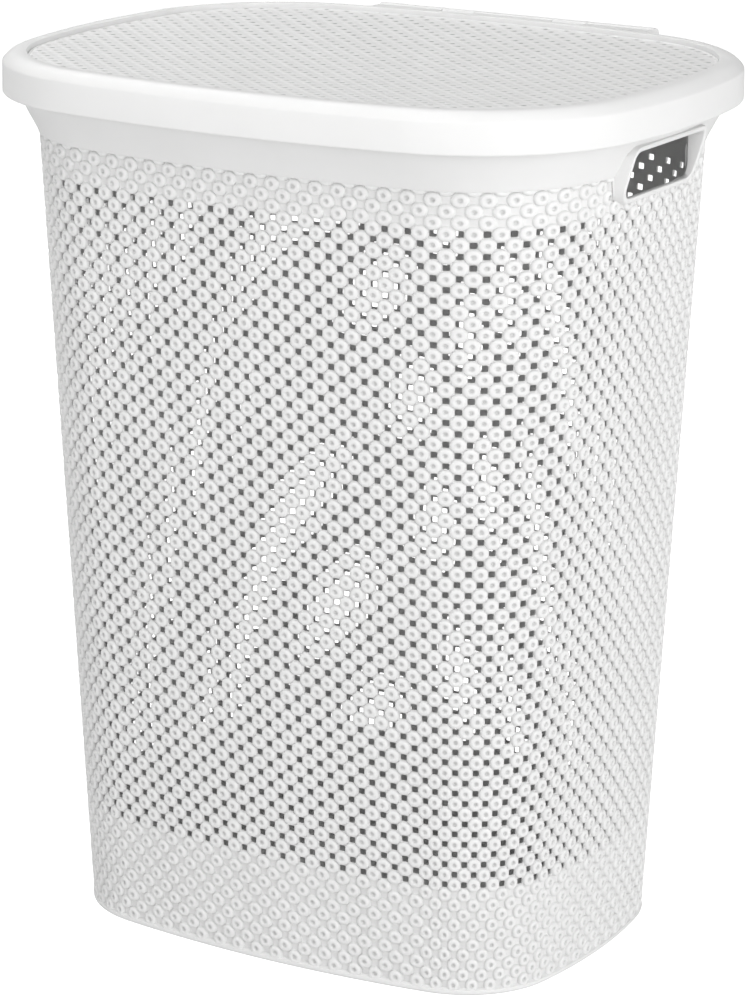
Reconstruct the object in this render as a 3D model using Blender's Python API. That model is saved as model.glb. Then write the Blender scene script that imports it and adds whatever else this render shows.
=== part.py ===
"""Laundry hamper with a hinged lid: a tapered basket with a flared neck, two hand holes and a lid on a rod.

Metres, +Z up. The origin is the middle of the floor's underside, -Y is the front, the hand holes are at
+X and -X, and the lid's hinge is at the back, along X. Run it in Blender 4.5.
"""

import math

import bmesh
import bpy
from mathutils import Vector

# Plan outline of the basket at the foot of its neck: a bowed rectangle of three tangent arcs per quarter
NECK_Z = 0.5226
HALF_WIDTH = 0.2032
HALF_DEPTH = 0.1575
FRONT_RADIUS = 0.788
SIDE_RADIUS = 0.421
CORNER_RADIUS = 0.095
FRONT_STEPS = 4
CORNER_STEPS = 8
SIDE_STEPS = 3

# How far the front and back, and the two sides, lean out per metre of height
FRONT_TAPER = 0.0571
SIDE_TAPER = 0.0520

WALL = 0.0022
FLOOR_THICK = 0.0025
GAP = 0.0003

# Neck collar: how far out it leans and up to what height, then the foot of the upright lip above it
COLLAR_FLARE = 0.0115
LEAN_OUT = 0.0078
LEAN_TOP_Z = 0.5375
LIP_FOOT_Z = 0.5495
FLARE_STEPS = 6

# Lid, as distances out from the neck outline. The collar's lip stands between its leg and its skirt
SKIRT_Z = 0.5481
SKIRT_OUT = 0.0230
RIM_INNER = 0.0070
LEG_INNER = 0.0064
LEG_OUTER = 0.0082
LEG_Z = 0.5672
CROWN_Z = 0.5738
PANEL_Z = 0.5708
PANEL_THICK = 0.0023
LID_WALL = 0.0020
COLLAR_TOP_Z = CROWN_Z - LID_WALL - GAP

# Hand holes
HOLE_HALF_WIDTH = 0.046
HOLE_LOW_Z = 0.508
HOLE_HIGH_Z = 0.538
HOLE_CORNER = 0.008
FRAME_LIP = 0.0035
FRAME_FLANK = 0.0038
FRAME_INNER_X = 0.2005
FRAME_LOW_X = 0.2035
FRAME_HIGH_X = 0.2145
FRAME_CORNER_STEPS = 5

# Hinge
HINGE_Y = 0.1875
HINGE_Z = 0.5662
KNUCKLE_RADIUS = 0.0070
BORE_RADIUS = 0.0028
ROD_RADIUS = 0.0026
HINGE_HALF_LENGTH = 0.105
ROD_RECESS = 0.004
BASKET_KNUCKLE_LOW_X = 0.030
BASKET_KNUCKLE_HIGH_X = 0.055
KNUCKLE_GAP = 0.0004
ARM_TOP_Z = 0.5590
ARM_LOW_Z = 0.5500
POST_HALF_DEPTH = 0.0050
WEB_BELOW = 0.0030
WEB_ABOVE = 0.0060
NOTCH_TOP_Z = 0.5610
NOTCH_HALF_LENGTH = 0.108
ROUND_STEPS = 24

WHITE = (0.86, 0.86, 0.85, 1.0)


def clear_scene():
    for old in list(bpy.data.objects):
        bpy.data.objects.remove(old, do_unlink=True)


def make_collection(name):
    made = bpy.data.collections.new(name)
    bpy.context.scene.collection.children.link(made)
    return made


def plastic(name, roughness):
    material = bpy.data.materials.new(name)
    material.use_nodes = True
    shader = material.node_tree.nodes["Principled BSDF"]
    shader.inputs["Base Color"].default_value = WHITE
    shader.inputs["Roughness"].default_value = roughness
    shader.inputs["Metallic"].default_value = 0.0
    return material


def add_object(name, mesh, collection, material=None):
    obj = bpy.data.objects.new(name, mesh)
    collection.objects.link(obj)
    if material is not None:
        mesh.materials.append(material)
        mesh.shade_smooth()
        mesh.set_sharp_from_angle(angle=math.radians(30))
    return obj


def corner_centre():
    """Centre of the corner arc that touches the front arc and the side arc from inside, at +X and -Y."""
    front = Vector((0.0, FRONT_RADIUS - HALF_DEPTH))
    side = Vector((HALF_WIDTH - SIDE_RADIUS, 0.0))
    from_front = FRONT_RADIUS - CORNER_RADIUS
    from_side = SIDE_RADIUS - CORNER_RADIUS
    apart = (side - front).length
    along = (apart**2 + from_front**2 - from_side**2) / (2 * apart)
    across = math.sqrt(from_front**2 - along**2)
    towards = (side - front) / apart
    left = Vector((-towards.y, towards.x))
    return front + towards * along + left * across


def quarter_arcs():
    """(centre, radius, start angle, end angle, steps) of the arcs from the front's middle to the side's."""
    front = Vector((0.0, FRONT_RADIUS - HALF_DEPTH))
    side = Vector((HALF_WIDTH - SIDE_RADIUS, 0.0))
    corner = corner_centre()
    to_corner = corner - front
    front_end = math.atan2(to_corner.y, to_corner.x)
    to_side = corner - side
    side_start = math.atan2(to_side.y, to_side.x)
    return (
        (front, FRONT_RADIUS, -math.pi / 2, front_end, FRONT_STEPS),
        (corner, CORNER_RADIUS, front_end, side_start, CORNER_STEPS),
        (side, SIDE_RADIUS, side_start, 0.0, SIDE_STEPS),
    )


def quarter_points():
    """(point, outward normal) along a quarter of the neck outline, without its last point."""
    points = []
    for centre, radius, start, end, steps in quarter_arcs():
        for step in range(steps):
            angle = start + (end - start) * step / steps
            normal = Vector((math.cos(angle), math.sin(angle)))
            points.append((centre + normal * radius, normal))
    return points


def outline_points():
    """(point, outward normal) right round the neck outline, anticlockwise from the front's middle."""
    quarter = quarter_points()
    side_middle = (Vector((HALF_WIDTH, 0.0)), Vector((1.0, 0.0)))
    right = quarter + [side_middle]
    right += [
        (Vector((p.x, -p.y)), Vector((n.x, -n.y))) for p, n in reversed(quarter)
    ]
    left = [(Vector((-p.x, p.y)), Vector((-n.x, n.y))) for p, n in reversed(right[1:-1])]
    return right + left


def ring(out_front, out_side, z):
    """The neck outline moved out along its normals and set at height z."""
    points = []
    for point, normal in outline_points():
        out = out_side + (out_front - out_side) * normal.y**2
        moved = point + normal * out
        points.append(Vector((moved.x, moved.y, z)))
    return points


def tapered_ring(out, z):
    """The wall's outline at height z, moved out by the same distance all round."""
    drop = NECK_Z - z
    return ring(out - FRONT_TAPER * drop, out - SIDE_TAPER * drop, z)


def loft(rings, closed):
    """A mesh through rings of equal length. Closed joins the last ring to the first, open caps both ends."""
    form = bmesh.new()
    loops = [[form.verts.new(point) for point in points] for points in rings]
    count = len(loops[0])
    pairs = list(zip(loops, loops[1:]))
    if closed:
        pairs.append((loops[-1], loops[0]))
    else:
        form.faces.new(loops[0])
        form.faces.new(loops[-1])
    for low, high in pairs:
        for i in range(count):
            j = (i + 1) % count
            form.faces.new((low[i], low[j], high[j], high[i]))
    bmesh.ops.recalc_face_normals(form, faces=form.faces)
    mesh = bpy.data.meshes.new("loft")
    form.to_mesh(mesh)
    form.free()
    return mesh


def rounded_rectangle(half_width, low, high, radius):
    """(across, up) points of a rectangle with round corners, anticlockwise."""
    centres = (
        (half_width - radius, low + radius, -90),
        (half_width - radius, high - radius, 0),
        (radius - half_width, high - radius, 90),
        (radius - half_width, low + radius, 180),
    )
    points = []
    for across, up, start in centres:
        for step in range(FRAME_CORNER_STEPS + 1):
            angle = math.radians(start + 90 * step / FRAME_CORNER_STEPS)
            points.append((across + radius * math.cos(angle), up + radius * math.sin(angle)))
    return points


def box_mesh(low, high):
    form = bmesh.new()
    bmesh.ops.create_cube(form, size=1.0)
    low = Vector(low)
    high = Vector(high)
    bmesh.ops.scale(form, vec=high - low, verts=form.verts)
    bmesh.ops.translate(form, vec=(low + high) / 2, verts=form.verts)
    mesh = bpy.data.meshes.new("box")
    form.to_mesh(mesh)
    form.free()
    return mesh


def rod_mesh(radius, start, end):
    """A round bar along X from start to end, about the mesh's own X axis."""
    form = bmesh.new()
    bmesh.ops.create_cone(
        form,
        cap_ends=True,
        segments=ROUND_STEPS,
        radius1=radius,
        radius2=radius,
        depth=end - start,
    )
    for vert in form.verts:
        x, y, z = vert.co
        vert.co = Vector((z + (start + end) / 2, y, -x))
    mesh = bpy.data.meshes.new("rod")
    form.to_mesh(mesh)
    form.free()
    return mesh


def boolean(obj, cutter, operation):
    modifier = obj.modifiers.new(operation.lower(), "BOOLEAN")
    modifier.object = cutter
    modifier.operation = operation
    modifier.solver = "EXACT"


def make_helper(name, mesh, collection):
    """An object that only cuts or joins others."""
    obj = add_object(name, mesh, collection)
    obj.hide_render = True
    obj.display_type = "WIRE"
    return obj


def hand_hole_cutter(collection):
    """A bar through both sides, as big as a hand hole's frame and the gap round it."""
    grown = FRAME_LIP + FRAME_FLANK + GAP
    outline = rounded_rectangle(
        HOLE_HALF_WIDTH + grown, HOLE_LOW_Z - FRAME_LIP - GAP, HOLE_HIGH_Z + grown - FRAME_LIP, HOLE_CORNER
    )
    reach = HALF_WIDTH + SKIRT_OUT
    rings = [[Vector((x, y, z)) for y, z in outline] for x in (-reach, reach)]
    return make_helper("hand_hole_cutter", loft(rings, closed=False), collection)


def basket_wall(parts, cutter):
    top = NECK_Z - GAP / 2
    rings = [
        tapered_ring(0.0, top),
        tapered_ring(0.0, 0.0),
        tapered_ring(-WALL, 0.0),
        tapered_ring(-WALL, top),
    ]
    obj = add_object("basket_wall", loft(rings, closed=True), parts, plastic("basket_wall_plastic", 0.42))
    boolean(obj, cutter, "DIFFERENCE")
    return obj


def basket_floor(parts):
    inset = -WALL - GAP
    rings = [tapered_ring(inset, 0.0), tapered_ring(inset, FLOOR_THICK)]
    return add_object("basket_floor", loft(rings, closed=False), parts, plastic("basket_floor_plastic", 0.45))


def collar_profile():
    """(distance out from the neck outline, height) round the collar's section: it leans out, then turns upright."""
    foot = (0.0, NECK_Z + GAP / 2)
    lean_top = (LEAN_OUT, LEAN_TOP_Z)
    upright = (COLLAR_FLARE, LIP_FOOT_Z)
    slope = (lean_top[1] - foot[1]) / (lean_top[0] - foot[0])
    bend = (COLLAR_FLARE, lean_top[1] + (COLLAR_FLARE - lean_top[0]) * slope)
    outer = [foot]
    inner = [(-WALL, foot[1])]
    for step in range(FLARE_STEPS + 1):
        share = step / FLARE_STEPS
        point = []
        along = []
        for start, middle, end in zip(lean_top, bend, upright):
            point.append((1 - share) ** 2 * start + 2 * share * (1 - share) * middle + share**2 * end)
            along.append((1 - share) * (middle - start) + share * (end - middle))
        across = Vector((-along[1], along[0])).normalized() * WALL
        outer.append(tuple(point))
        inner.append((point[0] + across.x, point[1] + across.y))
    outer.append((COLLAR_FLARE, COLLAR_TOP_Z))
    inner.append((COLLAR_FLARE - WALL, COLLAR_TOP_Z))
    return outer + inner[::-1]


def neck_collar(parts, cutter):
    rings = [ring(out, out, z) for out, z in collar_profile()]
    obj = add_object("neck_collar", loft(rings, closed=True), parts, plastic("neck_collar_plastic", 0.38))
    boolean(obj, cutter, "DIFFERENCE")
    return obj


def face_x(z):
    """Where the leaning outer face of a hand hole's frame is at height z."""
    low = HOLE_LOW_Z - FRAME_LIP
    share = (z - low) / (HOLE_HIGH_Z + FRAME_LIP - low)
    return FRAME_LOW_X + (FRAME_HIGH_X - FRAME_LOW_X) * share


def hand_hole_frame_mesh():
    foot_grown = FRAME_LIP + FRAME_FLANK
    foot = rounded_rectangle(
        HOLE_HALF_WIDTH + foot_grown, HOLE_LOW_Z - FRAME_LIP, HOLE_HIGH_Z + FRAME_FLANK, HOLE_CORNER
    )
    face = rounded_rectangle(
        HOLE_HALF_WIDTH + FRAME_LIP, HOLE_LOW_Z - FRAME_LIP, HOLE_HIGH_Z + FRAME_LIP, HOLE_CORNER
    )
    hole = rounded_rectangle(HOLE_HALF_WIDTH, HOLE_LOW_Z, HOLE_HIGH_Z, HOLE_CORNER)
    rings = [
        [Vector((FRAME_INNER_X, y, z)) for y, z in foot],
        [Vector((face_x(z), y, z)) for y, z in face],
        [Vector((face_x(z), y, z)) for y, z in hole],
        [Vector((FRAME_INNER_X, y, z)) for y, z in hole],
    ]
    return loft(rings, closed=True)


def hand_hole_frames(parts):
    for side, turn in (("right", 0.0), ("left", math.pi)):
        material = plastic(f"handle_{side}_plastic", 0.38)
        obj = add_object(f"handle_frame_{side}", hand_hole_frame_mesh(), parts, material)
        obj.rotation_euler.z = turn


def lid_rim_profile():
    """(distance out from the neck outline, height) round the rim's section: hollow crown and deep skirt."""
    shoulder = 0.0065
    round_steps = 5
    outer = [(SKIRT_OUT - 0.0012, SKIRT_Z), (SKIRT_OUT, SKIRT_Z + 0.0015)]
    shoulder_out = SKIRT_OUT - 0.0010
    shoulder_z = CROWN_Z - shoulder
    for step in range(round_steps + 1):
        angle = math.pi / 2 * step / round_steps
        out = shoulder_out - shoulder * (1 - math.cos(angle))
        outer.append((out, shoulder_z + shoulder * math.sin(angle)))
    outer += [(RIM_INNER + 0.0015, CROWN_Z - 0.0004), (RIM_INNER, CROWN_Z - 0.0014)]
    outer += [(LEG_INNER, LEG_Z), (LEG_OUTER, LEG_Z)]
    inner_crown = CROWN_Z - LID_WALL
    outer += [
        (LEG_OUTER + 0.0006, inner_crown),
        (SKIRT_OUT - LID_WALL - shoulder, inner_crown),
        (SKIRT_OUT - LID_WALL - 0.0020, inner_crown - 0.0030),
        (SKIRT_OUT - LID_WALL - 0.0012, shoulder_z - 0.0020),
        (SKIRT_OUT - LID_WALL - 0.0004, SKIRT_Z),
    ]
    return outer


def lid_rim(parts, cutters, hinge):
    """The rim, with its skirt cut away at the back so that the basket's hinge arms pass below it."""
    rings = [ring(out, out, z) for out, z in lid_rim_profile()]
    obj = add_object("lid_rim", loft(rings, closed=True), parts, plastic("lid_rim_plastic", 0.34))
    notch = box_mesh(
        (-NOTCH_HALF_LENGTH, HALF_DEPTH - 0.010, SKIRT_Z - 0.010),
        (NOTCH_HALF_LENGTH, HALF_DEPTH + 0.050, NOTCH_TOP_Z),
    )
    boolean(obj, make_helper("skirt_notch_cutter", notch, cutters), "DIFFERENCE")
    set_on_hinge(obj, hinge)
    return obj


def lid_panel(parts, hinge):
    out = LEG_INNER - GAP
    rings = [ring(out, out, PANEL_Z - PANEL_THICK), ring(out, out, PANEL_Z)]
    obj = add_object("lid_panel", loft(rings, closed=False), parts, plastic("lid_panel_plastic", 0.42))
    set_on_hinge(obj, hinge)
    return obj


def set_on_hinge(obj, hinge):
    """Parents a piece modelled in world coordinates to the empty on the hinge's axis."""
    obj.parent = hinge
    obj.matrix_parent_inverse = hinge.matrix_world.inverted()


def hinge_axis(parts):
    empty = bpy.data.objects.new("lid_hinge_axis", None)
    empty.location = (0.0, HINGE_Y, HINGE_Z)
    parts.objects.link(empty)
    bpy.context.view_layer.update()
    return empty


def at_hinge(obj):
    obj.location = (0.0, HINGE_Y, HINGE_Z)
    return obj


def clearance_cutter(name, out, cutters):
    """The rim's or collar's plan shape grown by a gap, to trim the hinge's arms against its bowed back."""
    rings = [ring(out + GAP, out + GAP, SKIRT_Z - 0.010), ring(out + GAP, out + GAP, CROWN_Z + 0.010)]
    return make_helper(name, loft(rings, closed=False), cutters)


def lid_knuckle(name, start, end, parts, cutters, bore, rim_cutter):
    """A hinge eye from start to end along X, with a web forward to the lid's rim."""
    material = plastic(f"{name}_plastic", 0.38)
    obj = at_hinge(add_object(name, rod_mesh(KNUCKLE_RADIUS, start, end), parts, material))
    web = box_mesh(
        (start, HALF_DEPTH, HINGE_Z - WEB_BELOW),
        (end, HINGE_Y, HINGE_Z + WEB_ABOVE),
    )
    boolean(obj, make_helper(f"{name}_web", web, cutters), "UNION")
    boolean(obj, rim_cutter, "DIFFERENCE")
    boolean(obj, bore, "DIFFERENCE")
    return obj


def basket_knuckle(name, start, end, parts, cutters, bore, collar_cutter):
    """A hinge eye from start to end along X, on an arm from the back of the neck collar."""
    material = plastic(f"{name}_plastic", 0.38)
    obj = at_hinge(add_object(name, rod_mesh(KNUCKLE_RADIUS, start, end), parts, material))
    arm = box_mesh((start, HALF_DEPTH, ARM_LOW_Z), (end, HINGE_Y, ARM_TOP_Z))
    boolean(obj, make_helper(f"{name}_arm", arm, cutters), "UNION")
    post = box_mesh((start, HINGE_Y - POST_HALF_DEPTH, ARM_LOW_Z), (end, HINGE_Y + POST_HALF_DEPTH, HINGE_Z))
    boolean(obj, make_helper(f"{name}_post", post, cutters), "UNION")
    boolean(obj, collar_cutter, "DIFFERENCE")
    boolean(obj, bore, "DIFFERENCE")
    return obj


def hinge_rod(parts):
    reach = HINGE_HALF_LENGTH - ROD_RECESS
    material = plastic("hinge_rod_plastic", 0.30)
    return at_hinge(add_object("hinge_rod", rod_mesh(ROD_RADIUS, -reach, reach), parts, material))


def hinge(parts, cutters, axis):
    reach = HINGE_HALF_LENGTH + 0.010
    bore = at_hinge(make_helper("bore_cutter", rod_mesh(BORE_RADIUS, -reach, reach), cutters))
    rim_cutter = clearance_cutter("rim_clearance_cutter", SKIRT_OUT, cutters)
    collar_cutter = clearance_cutter("collar_clearance_cutter", COLLAR_FLARE, cutters)
    inner = BASKET_KNUCKLE_LOW_X
    outer = BASKET_KNUCKLE_HIGH_X
    spans = (
        ("lid_knuckle_left", -HINGE_HALF_LENGTH, -outer - KNUCKLE_GAP),
        ("lid_knuckle_center", KNUCKLE_GAP - inner, inner - KNUCKLE_GAP),
        ("lid_knuckle_right", outer + KNUCKLE_GAP, HINGE_HALF_LENGTH),
    )
    for name, start, end in spans:
        knuckle = lid_knuckle(name, start, end, parts, cutters, bore, rim_cutter)
        knuckle.location = (0.0, 0.0, 0.0)
        knuckle.parent = axis
    basket_knuckle("basket_knuckle_left", -outer, -inner, parts, cutters, bore, collar_cutter)
    basket_knuckle("basket_knuckle_right", inner, outer, parts, cutters, bore, collar_cutter)
    hinge_rod(parts)


def main():
    clear_scene()
    parts = make_collection("laundry_hamper")
    cutters = make_collection("laundry_hamper_cutters")
    hand_holes = hand_hole_cutter(cutters)
    basket_wall(parts, hand_holes)
    basket_floor(parts)
    neck_collar(parts, hand_holes)
    hand_hole_frames(parts)
    axis = hinge_axis(parts)
    lid_rim(parts, cutters, axis)
    lid_panel(parts, axis)
    hinge(parts, cutters, axis)


main()
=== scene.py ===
"""Looks of the laundry hamper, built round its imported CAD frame: lattice, lid relief, plastic, studio."""

import math

import bmesh
import bpy
import numpy as np
from mathutils import Matrix, Vector


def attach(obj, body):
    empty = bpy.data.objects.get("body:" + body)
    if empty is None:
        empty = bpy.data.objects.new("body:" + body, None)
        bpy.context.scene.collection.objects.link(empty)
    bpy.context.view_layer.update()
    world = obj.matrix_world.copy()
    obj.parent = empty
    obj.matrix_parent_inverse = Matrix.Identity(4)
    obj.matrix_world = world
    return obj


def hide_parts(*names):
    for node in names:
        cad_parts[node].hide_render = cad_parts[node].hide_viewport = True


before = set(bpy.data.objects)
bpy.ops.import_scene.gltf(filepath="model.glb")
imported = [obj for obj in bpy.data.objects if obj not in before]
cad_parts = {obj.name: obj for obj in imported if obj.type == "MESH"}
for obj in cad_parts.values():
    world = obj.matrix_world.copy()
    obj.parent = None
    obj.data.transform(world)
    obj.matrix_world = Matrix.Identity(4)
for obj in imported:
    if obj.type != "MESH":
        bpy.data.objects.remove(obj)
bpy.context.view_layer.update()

# Plan outline at the foot of the neck: three tangent arcs per quarter
NECK_Z = 0.5226
HALF_WIDTH = 0.2032
HALF_DEPTH = 0.1575
FRONT_RADIUS = 0.788
SIDE_RADIUS = 0.421
CORNER_RADIUS = 0.095
FRONT_TAPER = 0.0571
SIDE_TAPER = 0.0520
MID_INSET = 0.0118
OUTLINE_STEPS = 4 * 72

# Wall lattice: columns are half pitches, 39 to a quarter, counted from the front's middle towards +X
QUARTER_COLUMNS = 39
COLUMNS = 4 * QUARTER_COLUMNS
ROW_PITCH = 0.0069
FIRST_HOLE_Z = 0.49659
FIRST_ROW = -4
LAST_ROW = 71
FIRST_HOLE_ROW = 0
LAST_HOLE_ROW = 61
WEB_OUT = -0.0021
WEB_IN = -0.0031
PANEL_WEB = -0.00035

# One lattice cell is 1 by 1, and a ring fills the circle through its corners
RING_RADIUS = math.sqrt(0.5)
RING_SECTORS = 12
SIDE_SECTORS = RING_SECTORS // 4
HOLE_HALF = 0.295
HOLE_CORNER_HALF = 0.280
SIDE_STEPS = ((0, 1), (1, 0), (0, -1), (-1, 0))

# Ring sections: (share of the ring's radius, height), from the dimple in its middle to the web round it
WALL_RING = (
    (0.18, -0.0015),
    (0.27, -0.0005),
    (0.44, 0.0),
    (0.68, -0.00005),
    (0.84, -0.0005),
    (0.94, -0.0012),
    (1.0, WEB_OUT),
)
PANEL_RING = (
    (0.10, -0.0018),
    (0.19, -0.0016),
    (0.26, -0.0003),
    (0.34, 0.0),
    (0.75, -0.0001),
    (1.0, PANEL_WEB),
)

# Neck
COLLAR_FLARE = 0.0115
LEAN_OUT = 0.0078
LEAN_TOP_Z = 0.5375
COLLAR_WALL = 0.0022
LIP_FOOT_Z = 0.5495
NECK_STEP = 0.0006
NECK_FOOT_INNER = -0.0034

# Lid, as distances out from the neck outline
SKIRT_Z = 0.5481
SKIRT_OUT = 0.0230
RIM_INNER = 0.0070
LEG_INNER = 0.0064
LEG_OUTER = 0.0082
LEG_Z = 0.5672
CREASE_Z = 0.5680
CROWN_Z = 0.5738
CROWN_OUT = 0.0120
CROWN_ROUNDNESS = 2.3
LID_WALL = 0.0020
PANEL_Z = 0.5708
PANEL_THICK = 0.0023
PANEL_DISH = 0.0045
DISH_HALF_WIDTH = 0.208
DISH_HALF_DEPTH = 0.162
PANEL_PITCH_X = 0.00789
PANEL_PITCH_Y = 0.00683
PANEL_MARGIN = 0.0020
PANEL_EDGE_GAP = 0.0004
COLLAR_TOP_Z = CROWN_Z - LID_WALL - 0.0003

# Plastic: its tone and how the mottling shades it, lowest and highest roughness, grain and gloss
WHITE_TONE = 0.80
HINGE_TONE = 0.78
MOTTLE_LOW = (0.975, 0.975, 0.970)
MOTTLE_HIGH = (1.0, 1.0, 0.997)
WALL_ROUGHNESS = (0.46, 0.58)
LID_ROUGHNESS = (0.44, 0.56)
GRAIN_STRENGTH = 0.12
GRAIN_DEPTH = 0.0002
REFRACTIVE_INDEX = 1.49
SPECULAR_LEVEL = 0.4

# Painted shade in the dimples and on the web between rings: how far the plastic goes towards the dark shade
# colour, out to what share of a ring's radius
PAINTED_SHADE_COLOUR = (0.12, 0.12, 0.118, 1.0)
PAINTED_SHADE_FADE = 0.15
WALL_DIMPLE_PAINTED_SHADE = 0.22
WALL_PAINTED_SHADE_REACH = 0.38
WALL_WEB_PAINTED_SHADE = 0.30
LID_DIMPLE_PAINTED_SHADE = 0.95
LID_PAINTED_SHADE_REACH = 0.36

# Degrees between two faces beyond which the edge between them is sharp
TEXTURE_SHARP = 50.0
NECK_SHARP = 35.0
RIM_SHARP = 40.0

# Hand holes
HOLE_HALF_WIDTH = 0.046
HOLE_LOW_Z = 0.508
HOLE_HIGH_Z = 0.538
FRAME_LIP = 0.0035
FRAME_FLANK = 0.0022
FRAME_INNER_X = 0.2010
FRAME_FOOT_X = 0.1970
FRAME_LOW_X = 0.2035
FRAME_HIGH_X = 0.2145
FRAME_HALF_WIDTH = HOLE_HALF_WIDTH + FRAME_LIP + FRAME_FLANK
FRAME_OVERLAP = 0.0020
FOOT_LOW_RADIUS = 0.0115
FOOT_HIGH_RADIUS = 0.0085
HOLE_LOW_RADIUS = 0.0085
HOLE_HIGH_RADIUS = 0.0045
PAST_SIDES_X = 0.230
TUCK_Z = HOLE_LOW_Z - 0.0006

# Notch in the skirt for the hinge
NOTCH_TOP_Z = 0.5610
NOTCH_HALF_LENGTH = 0.108
NOTCH_BELOW_SKIRT = 0.010
NOTCH_INWARD = 0.010
NOTCH_OUTWARD = 0.050

# CAD nodes that keep their shape
KEPT_BASKET_NODES = ("basket_floor",)
KEPT_HINGE_NODES = (
    "basket_knuckle_left",
    "basket_knuckle_right",
    "hinge_rod",
    "lid_knuckle_left",
    "lid_knuckle_center",
    "lid_knuckle_right",
)

# Broad lights round the object: (name, azimuth from the front towards +X, elevation, power)
LIGHTS = (
    ("key", 60.0, 38.0, 30.0),
    ("key_low", 60.0, 4.0, 35.0),
    ("side", 105.0, 8.0, 23.0),
    ("front_low", 15.0, 4.0, 9.0),
    ("fill", -30.0, 55.0, 26.0),
    ("fill_low", -30.0, 8.0, 24.0),
    ("back_left", -120.0, 50.0, 36.0),
    ("top", 0.0, 90.0, 18.0),
)
LIGHT_SIZE = 1.8
LIGHT_DISTANCE = 3.0
LIGHT_TARGET_Z = 0.3
FLOOR_LIGHT = 0.71
SKY_LIGHT = 0.0
HORIZON_BLEND = 0.05

# White floor that rises into a wall all round and closes overhead: (radius, height)
BACKDROP_PROFILE = ((0.0, -0.0005), (7.0, -0.0005), (8.5, 0.5), (9.0, 2.5), (9.0, 9.0), (0.0, 9.0))
BACKDROP_STEPS = 64

# Camera, aimed from an azimuth and elevation at a point on the hamper's axis
CAMERA_AZIMUTH = 30.85
CAMERA_ELEVATION = 16.2
CAMERA_ROLL = 0.37
CAMERA_DISTANCE = 2.565
CAMERA_TARGET_Z = 0.262
CAMERA_LENS = 140.95
CAMERA_SENSOR = 36.0
CAMERA_SHIFT_X = 0.0061
CAMERA_SHIFT_Y = 0.0247


def quarter_arcs():
    """(centre, radius, start angle, end angle) of the arcs from the front's middle to the side's."""
    front = Vector((0.0, FRONT_RADIUS - HALF_DEPTH))
    side = Vector((HALF_WIDTH - SIDE_RADIUS, 0.0))
    apart = (side - front).length
    from_front = FRONT_RADIUS - CORNER_RADIUS
    from_side = SIDE_RADIUS - CORNER_RADIUS
    along = (apart**2 + from_front**2 - from_side**2) / (2 * apart)
    across = math.sqrt(from_front**2 - along**2)
    towards = (side - front) / apart
    corner = front + towards * along + Vector((-towards.y, towards.x)) * across
    front_end = math.atan2(corner.y - front.y, corner.x - front.x)
    side_start = math.atan2(corner.y - side.y, corner.x - side.x)
    return (
        (front, FRONT_RADIUS, -math.pi / 2, front_end),
        (corner, CORNER_RADIUS, front_end, side_start),
        (side, SIDE_RADIUS, side_start, 0.0),
    )


def quarter_frame(share):
    """Points and normals of the neck outline's quarter, for shares 0 to 1 of its length at mid height."""
    arcs = quarter_arcs()
    lengths = [(radius - MID_INSET) * (end - start) for _, radius, start, end in arcs]
    along = share * sum(lengths)
    x = np.zeros_like(along)
    y = np.zeros_like(along)
    angle = np.zeros_like(along)
    passed = 0.0
    for (centre, radius, start, end), length in zip(arcs, lengths):
        here = (along >= passed - 1e-12) & (along <= passed + length + 1e-9)
        turn = start + (end - start) * (along - passed) / length
        angle = np.where(here, turn, angle)
        x = np.where(here, centre.x + radius * np.cos(turn), x)
        y = np.where(here, centre.y + radius * np.sin(turn), y)
        passed += length
    return x, y, np.cos(angle), np.sin(angle)


def column_frame(column):
    """Points and outward normals of the neck outline at lattice columns, COLUMNS of them all round."""
    column = np.mod(np.asarray(column, float), COLUMNS)
    quarter = np.minimum(column // QUARTER_COLUMNS, 3)
    inside = column - quarter * QUARTER_COLUMNS
    folded = np.where(quarter % 2 == 0, inside, QUARTER_COLUMNS - inside)
    x, y, normal_x, normal_y = quarter_frame(folded / QUARTER_COLUMNS)
    side = np.where(quarter < 2, 1.0, -1.0)
    depth = np.where((quarter == 0) | (quarter == 3), 1.0, -1.0)
    return x * side, y * depth, normal_x * side, normal_y * depth


def wall_points(column, z, height):
    """World points on the tapered wall at lattice columns, heights z and distances out from its surface."""
    x, y, normal_x, normal_y = column_frame(column)
    taper = FRONT_TAPER * normal_y**2 + SIDE_TAPER * normal_x**2
    out = height - (NECK_Z - z) * taper
    return np.stack([x + normal_x * out, y + normal_y * out, z], axis=-1)


def polar(radius, degrees, centre=(0.0, 0.0)):
    angle = math.radians(degrees)
    return centre[0] + radius * math.cos(angle), centre[1] + radius * math.sin(angle)


def turned(point, quarters):
    """A point turned anticlockwise about the cell's centre by quarter turns."""
    for _ in range(quarters):
        point = (-point[1], point[0])
    return point


def cell_corners(height):
    return [(*turned((-0.5, -0.5), side), height) for side in range(4)]


def ring_tile(ring, back):
    """(points, faces, side faces) of a ring's cell: the domed ring out to the web, and the flat back."""
    sectors = RING_SECTORS
    points = [(0.0, 0.0, ring[0][1])]
    for share, height in ring:
        for sector in range(sectors):
            points.append((*polar(share * RING_RADIUS, 225 + 360 * sector / sectors), height))
    faces = []
    for i in range(sectors):
        j = (i + 1) % sectors
        faces.append((0, 1 + i, 1 + j))
        for band in range(len(ring) - 1):
            low = 1 + band * sectors
            high = low + sectors
            faces.append((low + i, high + i, high + j, low + j))
    rim = 1 + (len(ring) - 1) * sectors
    corner = len(points)
    points += cell_corners(back)
    faces.append((corner, corner + 3, corner + 2, corner + 1))
    return points, faces, side_faces(rim, corner)


def side_faces(rim, back):
    """One face for each side of a cell, from front edge to back edge, used where no cell is beside it."""
    faces = []
    for side in range(4):
        steps = range(side * SIDE_SECTORS, (side + 1) * SIDE_SECTORS + 1)
        edge = [rim + step % RING_SECTORS for step in steps]
        faces.append((edge[0], back + side, back + (side + 1) % 4, *reversed(edge[1:])))
    return faces


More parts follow.
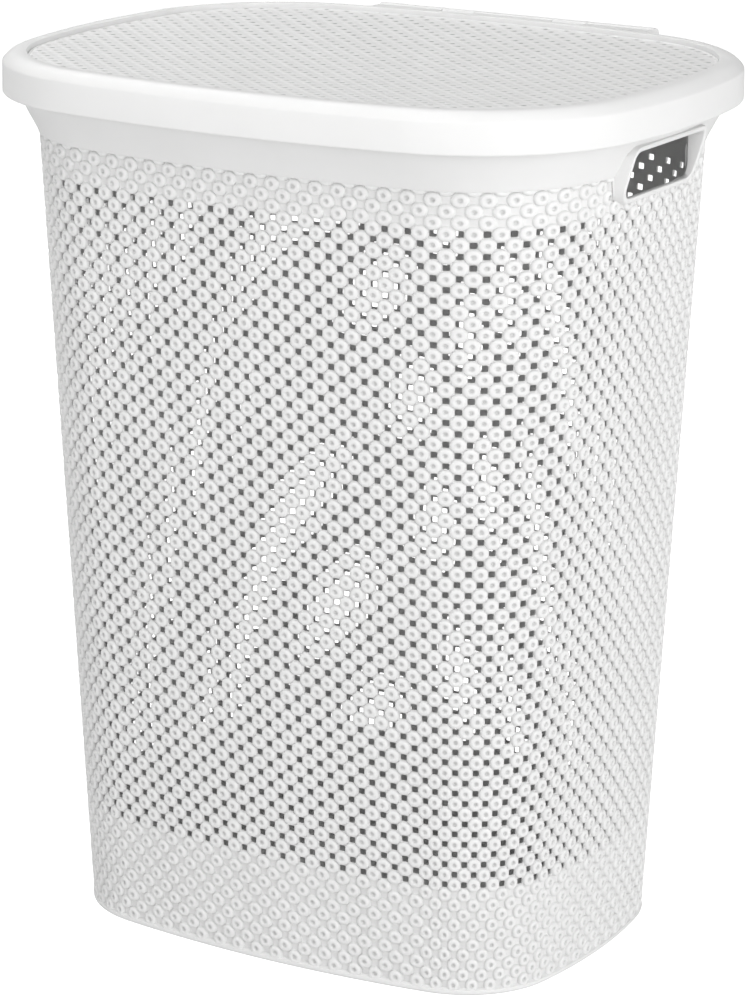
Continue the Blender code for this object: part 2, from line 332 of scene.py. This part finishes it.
def star_outline():
    """The web between four rings, anticlockwise from its low left corner, along the rings' own edges."""
    points = []
    for side in range(4):
        centre = polar(1.0, 90 * side - 90)
        for step in range(SIDE_SECTORS):
            points.append(polar(RING_RADIUS, 135 + 90 * side - 90 * step / SIDE_SECTORS, centre))
    return points


def hole_outline():
    """A square with slightly eased corners, in step with the star outline."""
    points = []
    for side in range(4):
        points.append(turned((-HOLE_CORNER_HALF, -HOLE_CORNER_HALF), side))
        for step in range(1, SIDE_SECTORS):
            points.append(turned((HOLE_HALF * (2 * step / SIDE_SECTORS - 1), -HOLE_HALF), side))
    return points


def closed_tile(web, back):
    """The cell between rings where there is no hole: a flat web."""
    points = [(*point, web) for point in star_outline()]
    corner = len(points)
    points += cell_corners(back)
    faces = [tuple(range(RING_SECTORS)), (corner, corner + 3, corner + 2, corner + 1)]
    return points, faces, side_faces(0, corner)


def open_tile(web, back):
    """The cell between rings with a square hole through the web."""
    sectors = RING_SECTORS
    points = [(*point, web) for point in star_outline()]
    points += [(*point, web) for point in hole_outline()]
    points += [(*point, back) for point in hole_outline()]
    corner = len(points)
    points += cell_corners(back)
    faces = []
    for i in range(sectors):
        j = (i + 1) % sectors
        faces.append((i, j, sectors + j, sectors + i))
        faces.append((sectors + i, sectors + j, 2 * sectors + j, 2 * sectors + i))
    for side in range(4):
        steps = range(side * SIDE_SECTORS, (side + 1) * SIDE_SECTORS + 1)
        edge = [2 * sectors + step % sectors for step in steps]
        faces.append((corner + side, *edge, corner + (side + 1) % 4))
    return points, faces, side_faces(0, corner)


def lattice_arrays(cells, tile_of, tiles):
    """(cell coordinates, faces) of the named tiles at (column, row) cells, welded. Rows count downwards."""
    kept = set(cells)
    groups = {}
    for cell in cells:
        groups.setdefault(tile_of(cell), []).append(cell)
    coordinates = []
    faces = []
    base = 0
    for name, members in sorted(groups.items()):
        points, tile_faces, sides = tiles[name]
        points = np.array(points)
        places = np.array(members, float)
        placed = np.repeat(points[None], len(members), axis=0)
        placed[:, :, 0] += places[:, None, 0]
        placed[:, :, 1] = places[:, None, 1] - placed[:, :, 1]
        coordinates.append(placed.reshape(-1, 3))
        for number, (column, row) in enumerate(members):
            first = base + number * len(points)
            faces += [tuple(first + i for i in face) for face in tile_faces]
            for side, (step, drop) in enumerate(SIDE_STEPS):
                if (column + step, row + drop) not in kept:
                    faces.append(tuple(first + i for i in sides[side]))
        base += len(members) * len(points)
    coordinates = np.concatenate(coordinates)
    keys = np.round(coordinates * (1e4, 1e4, 1e6)).astype(np.int64)
    _, index, inverse = np.unique(keys, axis=0, return_index=True, return_inverse=True)
    inverse = inverse.reshape(-1).tolist()
    return coordinates[index], [tuple(inverse[i] for i in face) for face in faces]


def add_piece(name, mesh, material, body, replaced=(), sharp=RIM_SHARP):
    """A finished piece of the object, in world coordinates, riding on a CAD body."""
    obj = bpy.data.objects.new(name, mesh)
    bpy.context.scene.collection.objects.link(obj)
    mesh.materials.append(material)
    mesh.shade_smooth()
    mesh.set_sharp_from_angle(angle=math.radians(sharp))
    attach(obj, body)
    if replaced:
        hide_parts(*replaced)
    return obj


def mesh_from(name, points, faces):
    mesh = bpy.data.meshes.new(name)
    mesh.from_pydata([tuple(point) for point in points], [], faces)
    mesh.update()
    return mesh


def mark_painted_shade(mesh, column, row, reach, web):
    """Stores how much shade is painted on the plastic: 1 in a ring's dimple, 0 on its crest, and the value
    web round it.
    """
    along = (column + row) / 2
    across = (column - row) / 2
    away = np.hypot(along - np.round(along), across - np.round(across)) * math.sqrt(2) / RING_RADIUS
    dimple_shade_mask = np.clip((reach - away) / PAINTED_SHADE_FADE, 0.0, 1.0)
    web_shade_mask = web * np.clip((away - (1.0 - PAINTED_SHADE_FADE)) / PAINTED_SHADE_FADE, 0.0, 1.0)
    attribute = mesh.attributes.new("painted_shade", "FLOAT", "POINT")
    attribute.data.foreach_set("value", np.maximum(dimple_shade_mask, web_shade_mask).astype(np.float32))


def wall_tile(cell):
    column, row = cell
    if (column + row) % 2 == 0:
        return "ring"
    if FIRST_HOLE_ROW <= row <= LAST_HOLE_ROW:
        return "open"
    return "closed"


def row_z(row):
    return FIRST_HOLE_Z - np.asarray(row, float) * ROW_PITCH


def in_hand_hole(column, row):
    """True for a wall cell that the frame of a hand hole stands in place of."""
    y = float(wall_points(column, row_z(row), 0.0)[..., 1])
    at_side = abs((column % (COLUMNS / 2)) - QUARTER_COLUMNS) < QUARTER_COLUMNS / 2
    return bool(at_side and abs(y) < FRAME_HALF_WIDTH and row_z(row) > HOLE_LOW_Z)


def wall_panels(material):
    """The lattice wall, as panels that meet along their columns."""
    tiles = {
        "ring": ring_tile(WALL_RING, WEB_IN),
        "closed": closed_tile(WEB_OUT, WEB_IN),
        "open": open_tile(WEB_OUT, WEB_IN),
    }
    names = ("front", "front_right", "right", "back_right", "back", "back_left", "left", "front_left")
    edges = [round(COLUMNS * (number - 0.5) / len(names)) for number in range(len(names) + 1)]
    for name, first, end in zip(names, edges, edges[1:]):
        cells = [
            (column, row)
            for column in range(first, end)
            for row in range(FIRST_ROW, LAST_ROW + 1)
            if not in_hand_hole(column, row)
        ]
        coordinates, faces = lattice_arrays(cells, wall_tile, tiles)
        column, row, height = coordinates.T
        z = row_z(row)
        points = wall_points(column, z, height)
        tucked = (np.abs(points[:, 1]) < FRAME_HALF_WIDTH) & (z > TUCK_Z) & (z < NECK_Z)
        points[tucked, 2] = TUCK_Z
        mesh = mesh_from("wall_" + name, points, faces)
        # Painted shade in the dimples and on the web between rings
        mark_painted_shade(mesh, column, row, WALL_PAINTED_SHADE_REACH, WALL_WEB_PAINTED_SHADE)
        replaced = ("basket_wall",)
        add_piece("wall_" + name, mesh, material, "basket", replaced, TEXTURE_SHARP)


def outline(out_front, out_side, z):
    """The neck outline, moved out along its normals, at height z."""
    places = np.arange(OUTLINE_STEPS) * COLUMNS / OUTLINE_STEPS
    x, y, normal_x, normal_y = column_frame(places)
    out = out_front * normal_y**2 + out_side * normal_x**2
    return np.stack([x + normal_x * out, y + normal_y * out, np.full_like(x, z)], axis=-1)


def loft(name, rings):
    """A closed mesh through rings of equal length, the last of which joins the first."""
    count = len(rings[0])
    faces = []
    for low in range(len(rings)):
        high = (low + 1) % len(rings)
        for i in range(count):
            j = (i + 1) % count
            faces.append((low * count + i, low * count + j, high * count + j, high * count + i))
    mesh = mesh_from(name, np.concatenate(rings), faces)
    form = bmesh.new()
    form.from_mesh(mesh)
    bmesh.ops.recalc_face_normals(form, faces=form.faces)
    form.to_mesh(mesh)
    form.free()
    return mesh


def box_mesh(name, low, high):
    form = bmesh.new()
    bmesh.ops.create_cube(form, size=1.0)
    low = Vector(low)
    high = Vector(high)
    bmesh.ops.scale(form, vec=high - low, verts=form.verts)
    bmesh.ops.translate(form, vec=(low + high) / 2, verts=form.verts)
    mesh = bpy.data.meshes.new(name)
    form.to_mesh(mesh)
    form.free()
    return mesh


def cut_with(obj, cutter_mesh):
    """Applies a Boolean with a throwaway object, and keeps the result in the piece's own mesh."""
    cutter = bpy.data.objects.new("cutter", cutter_mesh)
    bpy.context.scene.collection.objects.link(cutter)
    modifier = obj.modifiers.new("cut", "BOOLEAN")
    modifier.object = cutter
    modifier.operation = "DIFFERENCE"
    modifier.solver = "EXACT"
    apply_modifiers(obj)
    bpy.data.objects.remove(cutter)


def apply_modifiers(obj):
    """Puts what the modifiers make into the piece's own mesh."""
    bpy.context.view_layer.update()
    graph = bpy.context.evaluated_depsgraph_get()
    made = bpy.data.meshes.new_from_object(obj.evaluated_get(graph))
    obj.modifiers.clear()
    old = obj.data
    obj.data = made
    bpy.data.meshes.remove(old)


def foot_band(material):
    """The smooth lip that closes the lattice at the floor."""
    profile = (
        (-0.0029, 0.0050),
        (WEB_OUT, 0.0046),
        (-0.0008, 0.0040),
        (0.0002, 0.0034),
        (0.0004, 0.0022),
        (0.0001, 0.0008),
        (-0.0008, 0.0),
        (-0.0029, 0.0),
    )
    rings = []
    for out, z in profile:
        drop = NECK_Z - z
        rings.append(outline(out - FRONT_TAPER * drop, out - SIDE_TAPER * drop, z))
    add_piece("foot_band", loft("foot_band", rings), material, "basket", ())


def neck_profile():
    """(distance out, height) round the neck's section, which leans out from its foot, then turns upright."""
    foot = (NECK_STEP, NECK_Z + 0.0005)
    lean_top = (LEAN_OUT, LEAN_TOP_Z)
    upright = (COLLAR_FLARE, LIP_FOOT_Z)
    slope = (lean_top[1] - foot[1]) / (lean_top[0] - foot[0])
    bend = (COLLAR_FLARE, lean_top[1] + (COLLAR_FLARE - lean_top[0]) * slope)
    outer = [(NECK_STEP - 0.0005, NECK_Z), foot, (NECK_STEP + 0.0006, NECK_Z + 0.0024)]
    inner = [(NECK_FOOT_INNER, NECK_Z)]
    steps = 10
    for step in range(steps + 1):
        share = step / steps
        point = []
        along = []
        for start, middle, end in zip(lean_top, bend, upright):
            point.append((1 - share) ** 2 * start + 2 * share * (1 - share) * middle + share**2 * end)
            along.append((1 - share) * (middle - start) + share * (end - middle))
        across = Vector((-along[1], along[0])).normalized() * COLLAR_WALL
        outer.append(tuple(point))
        inner.append((point[0] + across.x, point[1] + across.y))
    outer.append((COLLAR_FLARE, COLLAR_TOP_Z - 0.0005))
    outer.append((COLLAR_FLARE - 0.0005, COLLAR_TOP_Z))
    inner.append((COLLAR_FLARE - COLLAR_WALL, COLLAR_TOP_Z - 0.0005))
    inner.append((COLLAR_FLARE - COLLAR_WALL + 0.0005, COLLAR_TOP_Z))
    return outer + inner[::-1]


def neck(material):
    rings = [outline(out, out, z) for out, z in neck_profile()]
    mesh = loft("neck", rings)
    obj = add_piece("neck", mesh, material, "basket", ("neck_collar",), NECK_SHARP)
    cut_half_width = FRAME_HALF_WIDTH - FRAME_OVERLAP
    low = (-PAST_SIDES_X, -cut_half_width, HOLE_LOW_Z)
    high = (PAST_SIDES_X, cut_half_width, HOLE_HIGH_Z + FRAME_FLANK - FRAME_OVERLAP)
    cut_with(obj, box_mesh("hand_hole_cut", low, high))
    obj.data.set_sharp_from_angle(angle=math.radians(NECK_SHARP))


def face_x(z):
    """Where the leaning outer face of a hand hole's frame is at height z."""
    low = HOLE_LOW_Z - FRAME_LIP
    share = (z - low) / (HOLE_HIGH_Z + FRAME_LIP - low)
    return FRAME_LOW_X + (FRAME_HIGH_X - FRAME_LOW_X) * share


def rounded_rectangle(sideways, below, above, low_radius, high_radius, steps=8):
    """(y, z) points of the hand hole's outline grown sideways, below and above, with round corners."""
    half = HOLE_HALF_WIDTH + sideways
    low = HOLE_LOW_Z - below
    high = HOLE_HIGH_Z + above
    corners = (
        (half - low_radius, low + low_radius, low_radius, -90),
        (half - high_radius, high - high_radius, high_radius, 0),
        (high_radius - half, high - high_radius, high_radius, 90),
        (low_radius - half, low + low_radius, low_radius, 180),
    )
    points = []
    for y, z, radius, start in corners:
        for step in range(steps + 1):
            angle = math.radians(start + 90 * step / steps)
            points.append((y + radius * math.cos(angle), z + radius * math.sin(angle)))
    return points


def frame_rings():
    """Outlines of a hand hole's frame, from its foot in the wall over its face and through the hole."""
    rings = []
    flank = FRAME_LIP + FRAME_FLANK
    foot = rounded_rectangle(flank, FRAME_LIP, FRAME_FLANK, FOOT_LOW_RADIUS, FOOT_HIGH_RADIUS)
    rings.append([(FRAME_FOOT_X, y, z) for y, z in foot])
    grown_and_depth = (
        (FRAME_LIP + 0.0003, 0.0030),
        (FRAME_LIP, 0.0010),
        (FRAME_LIP - 0.0003, 0.0003),
        (FRAME_LIP - 0.0010, 0.0),
        (0.0010, 0.0),
        (0.0003, 0.0003),
        (0.0, 0.0010),
    )
    for grown, depth in grown_and_depth:
        low_radius = HOLE_LOW_RADIUS + grown
        high_radius = HOLE_HIGH_RADIUS + grown
        outline_points = rounded_rectangle(grown, grown, grown, low_radius, high_radius)
        rings.append([(face_x(z) - depth, y, z) for y, z in outline_points])
    hole = rounded_rectangle(0.0, 0.0, 0.0, HOLE_LOW_RADIUS, HOLE_HIGH_RADIUS)
    rings.append([(FRAME_INNER_X, y, z) for y, z in hole])
    return [np.array(ring) for ring in rings]


def hand_hole_frames(material):
    for name, sign in (("right", 1.0), ("left", -1.0)):
        rings = [ring * (sign, sign, 1.0) for ring in frame_rings()]
        piece = "hand_hole_frame_" + name
        replaced = ("handle_frame_" + name,)
        mesh = loft(piece, rings)
        add_piece(piece, mesh, material, "basket", replaced, TEXTURE_SHARP)


def rim_profile():
    """(distance out, height) round the lid's rim: skirt, crease, domed crown, leg inside the collar."""
    shoulder_out = SKIRT_OUT - 0.0007
    shoulder_z = CREASE_Z + 0.0004
    profile = [
        (SKIRT_OUT - 0.0013, SKIRT_Z),
        (SKIRT_OUT - 0.0006, SKIRT_Z + 0.0002),
        (SKIRT_OUT - 0.0001, SKIRT_Z + 0.0008),
        (SKIRT_OUT, SKIRT_Z + 0.0018),
        (SKIRT_OUT - 0.0002, CREASE_Z - 0.0010),
        (SKIRT_OUT - 0.0003, CREASE_Z - 0.0003),
        (shoulder_out, shoulder_z),
    ]
    steps = 12
    for step in range(1, steps + 1):
        share = step / steps
        out = shoulder_out - (shoulder_out - CROWN_OUT) * share
        rise = 1 - (1 - share) ** CROWN_ROUNDNESS
        profile.append((out, shoulder_z + (CROWN_Z - shoulder_z) * rise))
    profile += [
        (RIM_INNER + 0.0005, CROWN_Z),
        (RIM_INNER + 0.0001, CROWN_Z - 0.0002),
        (RIM_INNER, CROWN_Z - 0.0006),
        (LEG_INNER, LEG_Z),
        (LEG_OUTER, LEG_Z),
        (LEG_OUTER + 0.0006, CROWN_Z - LID_WALL),
        (CROWN_OUT + 0.0010, CROWN_Z - LID_WALL),
        (SKIRT_OUT - LID_WALL - 0.0030, CREASE_Z + 0.0010),
        (SKIRT_OUT - LID_WALL - 0.0008, CREASE_Z - 0.0020),
        (SKIRT_OUT - LID_WALL - 0.0004, SKIRT_Z + 0.0003),
        (SKIRT_OUT - LID_WALL, SKIRT_Z),
    ]
    return profile


def lid_rim(material):
    rings = [outline(out, out, z) for out, z in rim_profile()]
    obj = add_piece("rim", loft("rim", rings), material, "lid", ("lid_rim",), RIM_SHARP)
    low = (-NOTCH_HALF_LENGTH, HALF_DEPTH - NOTCH_INWARD, SKIRT_Z - NOTCH_BELOW_SKIRT)
    high = (NOTCH_HALF_LENGTH, HALF_DEPTH + NOTCH_OUTWARD, NOTCH_TOP_Z)
    cut_with(obj, box_mesh("skirt_notch", low, high))
    obj.data.set_sharp_from_angle(angle=math.radians(RIM_SHARP))


def panel_tile(cell):
    return "ring" if (cell[0] + cell[1]) % 2 == 0 else "closed"


def held_inside(x, y, out):
    """Points moved straight back onto the neck outline grown by out, where they are outside it."""
    held_x = np.abs(x)
    held_y = -np.abs(y)
    for centre, radius, start, end in quarter_arcs():
        across = held_x - centre.x
        along = held_y - centre.y
        away = np.hypot(across, along)
        turn = np.arctan2(along, across)
        over = (turn >= start) & (turn <= end) & (away > radius + out)
        share = np.where(over, (radius + out) / away, 1.0)
        held_x = centre.x + across * share
        held_y = centre.y + along * share
    return np.where(x < 0, -held_x, held_x), np.where(y < 0, held_y, -held_y)


def lid_panel(material):
    """The recessed panel: a smooth border, and low dimpled rings inside it on a slightly dished face."""
    edge = LEG_INNER - PANEL_EDGE_GAP
    border_out = RIM_INNER - PANEL_MARGIN
    across = int((HALF_WIDTH + SKIRT_OUT) / PANEL_PITCH_X)
    along = int((HALF_DEPTH + SKIRT_OUT) / PANEL_PITCH_Y)
    cells = []
    for column in range(-across, across + 1):
        for row in range(-along, along + 1):
            corner = ((abs(column) - 0.5) * PANEL_PITCH_X, (abs(row) - 0.5) * PANEL_PITCH_Y)
            if np.allclose(held_inside(*corner, edge), corner, rtol=0.0, atol=1e-7):
                cells.append((column, row))
    tiles = {
        "ring": ring_tile(PANEL_RING, -PANEL_THICK),
        "closed": closed_tile(PANEL_WEB, -PANEL_THICK),
    }
    coordinates, faces = lattice_arrays(cells, panel_tile, tiles)
    column, row, height = coordinates.T
    x, y = held_inside(column * PANEL_PITCH_X, -row * PANEL_PITCH_Y, edge)
    dish = PANEL_DISH * np.clip(1 - (x / DISH_HALF_WIDTH) ** 2 - (y / DISH_HALF_DEPTH) ** 2, 0.0, 1.0)
    points = np.stack([x, y, PANEL_Z + height - dish], axis=-1)
    mesh = mesh_from("panel_texture", points, faces)
    # Painted shade in the dimples, none on the web
    mark_painted_shade(mesh, column, row, LID_PAINTED_SHADE_REACH, 0.0)
    add_piece("panel_texture", mesh, material, "lid", ("lid_panel",), TEXTURE_SHARP)
    profile = (
        (LEG_INNER - 0.0002, PANEL_Z - PANEL_THICK - 0.0001),
        (LEG_INNER - 0.0002, PANEL_Z + 0.0001),
        (border_out + 0.0003, PANEL_Z + 0.0001),
        (border_out, PANEL_Z - 0.0002),
        (border_out, PANEL_Z - PANEL_THICK - 0.0001),
    )
    rings = [outline(out, out, z) for out, z in profile]
    add_piece("panel_border", loft("panel_border", rings), material, "lid", ())


def principled(name):
    material = bpy.data.materials.new(name)
    material.use_nodes = True
    tree = material.node_tree
    return material, tree, tree.nodes["Principled BSDF"]


def noise(tree, coordinates, scale, detail):
    node = tree.nodes.new("ShaderNodeTexNoise")
    node.inputs["Scale"].default_value = scale
    node.inputs["Detail"].default_value = detail
    tree.links.new(coordinates, node.inputs["Vector"])
    return node.outputs["Fac"]


def ramp(tree, value, low, high):
    """A noise value spread from low to high, which are colours."""
    node = tree.nodes.new("ShaderNodeValToRGB")
    node.color_ramp.elements[0].position = 0.3
    node.color_ramp.elements[0].color = low
    node.color_ramp.elements[1].position = 0.7
    node.color_ramp.elements[1].color = high
    tree.links.new(value, node.inputs["Fac"])
    return node.outputs["Color"]


def white_plastic(name, tone, roughness, dimple_painted_shade):
    """Moulded polypropylene: faint mottling, painted shade in the dimples and on the web, uneven sheen and a
    fine spark-eroded grain.
    """
    material, tree, shader = principled(name)
    position = tree.nodes.new("ShaderNodeTexCoord").outputs["Object"]
    low = (*(tone * share for share in MOTTLE_LOW), 1.0)
    high = (*(tone * share for share in MOTTLE_HIGH), 1.0)
    mottled = ramp(tree, noise(tree, position, scale=22.0, detail=3.0), low, high)
    # Painted shade: the colour goes towards a dark grey in the dimples and on the web, by the stored mesh
    # attribute
    shade_attribute = tree.nodes.new("ShaderNodeAttribute")
    shade_attribute.attribute_name = "painted_shade"
    painted_shade = tree.nodes.new("ShaderNodeMath")
    painted_shade.operation = "MULTIPLY"
    painted_shade.inputs[1].default_value = dimple_painted_shade
    tree.links.new(shade_attribute.outputs["Fac"], painted_shade.inputs[0])
    colour = tree.nodes.new("ShaderNodeMix")
    colour.data_type = "RGBA"
    tree.links.new(painted_shade.outputs["Value"], colour.inputs["Factor"])
    tree.links.new(mottled, colour.inputs["A"])
    colour.inputs["B"].default_value = PAINTED_SHADE_COLOUR
    tree.links.new(colour.outputs["Result"], shader.inputs["Base Color"])
    spread = tree.nodes.new("ShaderNodeMapRange")
    spread.inputs["To Min"].default_value = roughness[0]
    spread.inputs["To Max"].default_value = roughness[1]
    tree.links.new(noise(tree, position, scale=60.0, detail=4.0), spread.inputs["Value"])
    tree.links.new(spread.outputs["Result"], shader.inputs["Roughness"])
    bump = tree.nodes.new("ShaderNodeBump")
    bump.inputs["Strength"].default_value = GRAIN_STRENGTH
    bump.inputs["Distance"].default_value = GRAIN_DEPTH
    tree.links.new(noise(tree, position, scale=900.0, detail=2.0), bump.inputs["Height"])
    tree.links.new(bump.outputs["Normal"], shader.inputs["Normal"])
    shader.inputs["IOR"].default_value = REFRACTIVE_INDEX
    shader.inputs["Specular IOR Level"].default_value = SPECULAR_LEVEL
    return material


def direction(azimuth, elevation):
    """Unit vector from the hamper, by degrees from the front towards +X, and up."""
    a = math.radians(azimuth)
    e = math.radians(elevation)
    return Vector((math.sin(a) * math.cos(e), -math.cos(a) * math.cos(e), math.sin(e)))


def studio():
    """A white surround that only the camera sees, light from below as off a pale floor, and soft lights."""
    world = bpy.data.worlds.new("surround")
    bpy.context.scene.world = world
    world.use_nodes = True
    tree = world.node_tree
    split = tree.nodes.new("ShaderNodeSeparateXYZ")
    tree.links.new(tree.nodes.new("ShaderNodeTexCoord").outputs["Generated"], split.inputs["Vector"])
    blend = tree.nodes.new("ShaderNodeMapRange")
    blend.inputs["From Min"].default_value = -HORIZON_BLEND
    blend.inputs["From Max"].default_value = HORIZON_BLEND
    blend.inputs["To Min"].default_value = FLOOR_LIGHT
    blend.inputs["To Max"].default_value = SKY_LIGHT
    tree.links.new(split.outputs["Z"], blend.inputs["Value"])
    tree.links.new(blend.outputs["Result"], tree.nodes["Background"].inputs["Strength"])
    tree.nodes["Background"].inputs["Color"].default_value = (1.0, 1.0, 1.0, 1.0)
    backdrop()
    for name, azimuth, elevation, power in LIGHTS:
        data = bpy.data.lights.new(name, "AREA")
        data.shape = "SQUARE"
        data.size = LIGHT_SIZE
        data.energy = power
        light = bpy.data.objects.new(name, data)
        bpy.context.scene.collection.objects.link(light)
        light.visible_camera = False
        towards = direction(azimuth, elevation)
        light.location = Vector((0.0, 0.0, LIGHT_TARGET_Z)) + towards * LIGHT_DISTANCE
        light.rotation_euler = towards.to_track_quat("Z", "Y").to_euler()


def backdrop():
    """The white floor, rising into a white wall all round and closed overhead."""
    form = bmesh.new()
    corners = [form.verts.new((radius, 0.0, z)) for radius, z in BACKDROP_PROFILE]
    edges = [form.edges.new(pair) for pair in zip(corners, corners[1:])]
    bmesh.ops.spin(
        form,
        geom=corners + edges,
        axis=(0, 0, 1),
        cent=(0, 0, 0),
        angle=math.tau,
        steps=BACKDROP_STEPS,
        use_merge=True,
    )
    mesh = bpy.data.meshes.new("floor")
    form.to_mesh(mesh)
    form.free()
    floor = bpy.data.objects.new("floor", mesh)
    bpy.context.scene.collection.objects.link(floor)
    floor.visible_diffuse = False
    floor.visible_glossy = False
    material, tree, shader = principled("floor_paper")
    shader.inputs["Base Color"].default_value = (0.9, 0.9, 0.9, 1.0)
    shader.inputs["Roughness"].default_value = 0.9
    shader.inputs["Emission Color"].default_value = (1.0, 1.0, 1.0, 1.0)
    shader.inputs["Emission Strength"].default_value = 1.0
    mesh.materials.append(material)


def camera():
    data = bpy.data.cameras.new("camera")
    data.sensor_width = CAMERA_SENSOR
    data.lens = CAMERA_LENS
    data.shift_x = CAMERA_SHIFT_X
    data.shift_y = CAMERA_SHIFT_Y
    cam = bpy.data.objects.new("camera", data)
    bpy.context.scene.collection.objects.link(cam)
    back = direction(CAMERA_AZIMUTH, CAMERA_ELEVATION)
    cam.location = Vector((0.0, 0.0, CAMERA_TARGET_Z)) + back * CAMERA_DISTANCE
    roll = Matrix.Rotation(math.radians(CAMERA_ROLL), 3, "Z").to_quaternion()
    cam.rotation_mode = "QUATERNION"
    cam.rotation_quaternion = back.to_track_quat("Z", "Y") @ roll
    bpy.context.scene.camera = cam


def repaint(names, material):
    """Gives CAD nodes that keep their shape a detailed material."""
    for name in names:
        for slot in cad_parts[name].material_slots:
            slot.material = material


def main():
    scene = bpy.context.scene
    scene.view_settings.view_transform = "Standard"
    basket_plastic = white_plastic("basket_plastic", WHITE_TONE, WALL_ROUGHNESS, WALL_DIMPLE_PAINTED_SHADE)
    lid_plastic = white_plastic("lid_plastic", WHITE_TONE, LID_ROUGHNESS, LID_DIMPLE_PAINTED_SHADE)
    hinge_plastic = white_plastic("hinge_plastic", HINGE_TONE, WALL_ROUGHNESS, 0.0)
    wall_panels(basket_plastic)
    foot_band(basket_plastic)
    neck(basket_plastic)
    hand_hole_frames(basket_plastic)
    lid_rim(lid_plastic)
    lid_panel(lid_plastic)
    repaint(KEPT_BASKET_NODES, basket_plastic)
    repaint(KEPT_HINGE_NODES, hinge_plastic)
    studio()
    camera()


main()
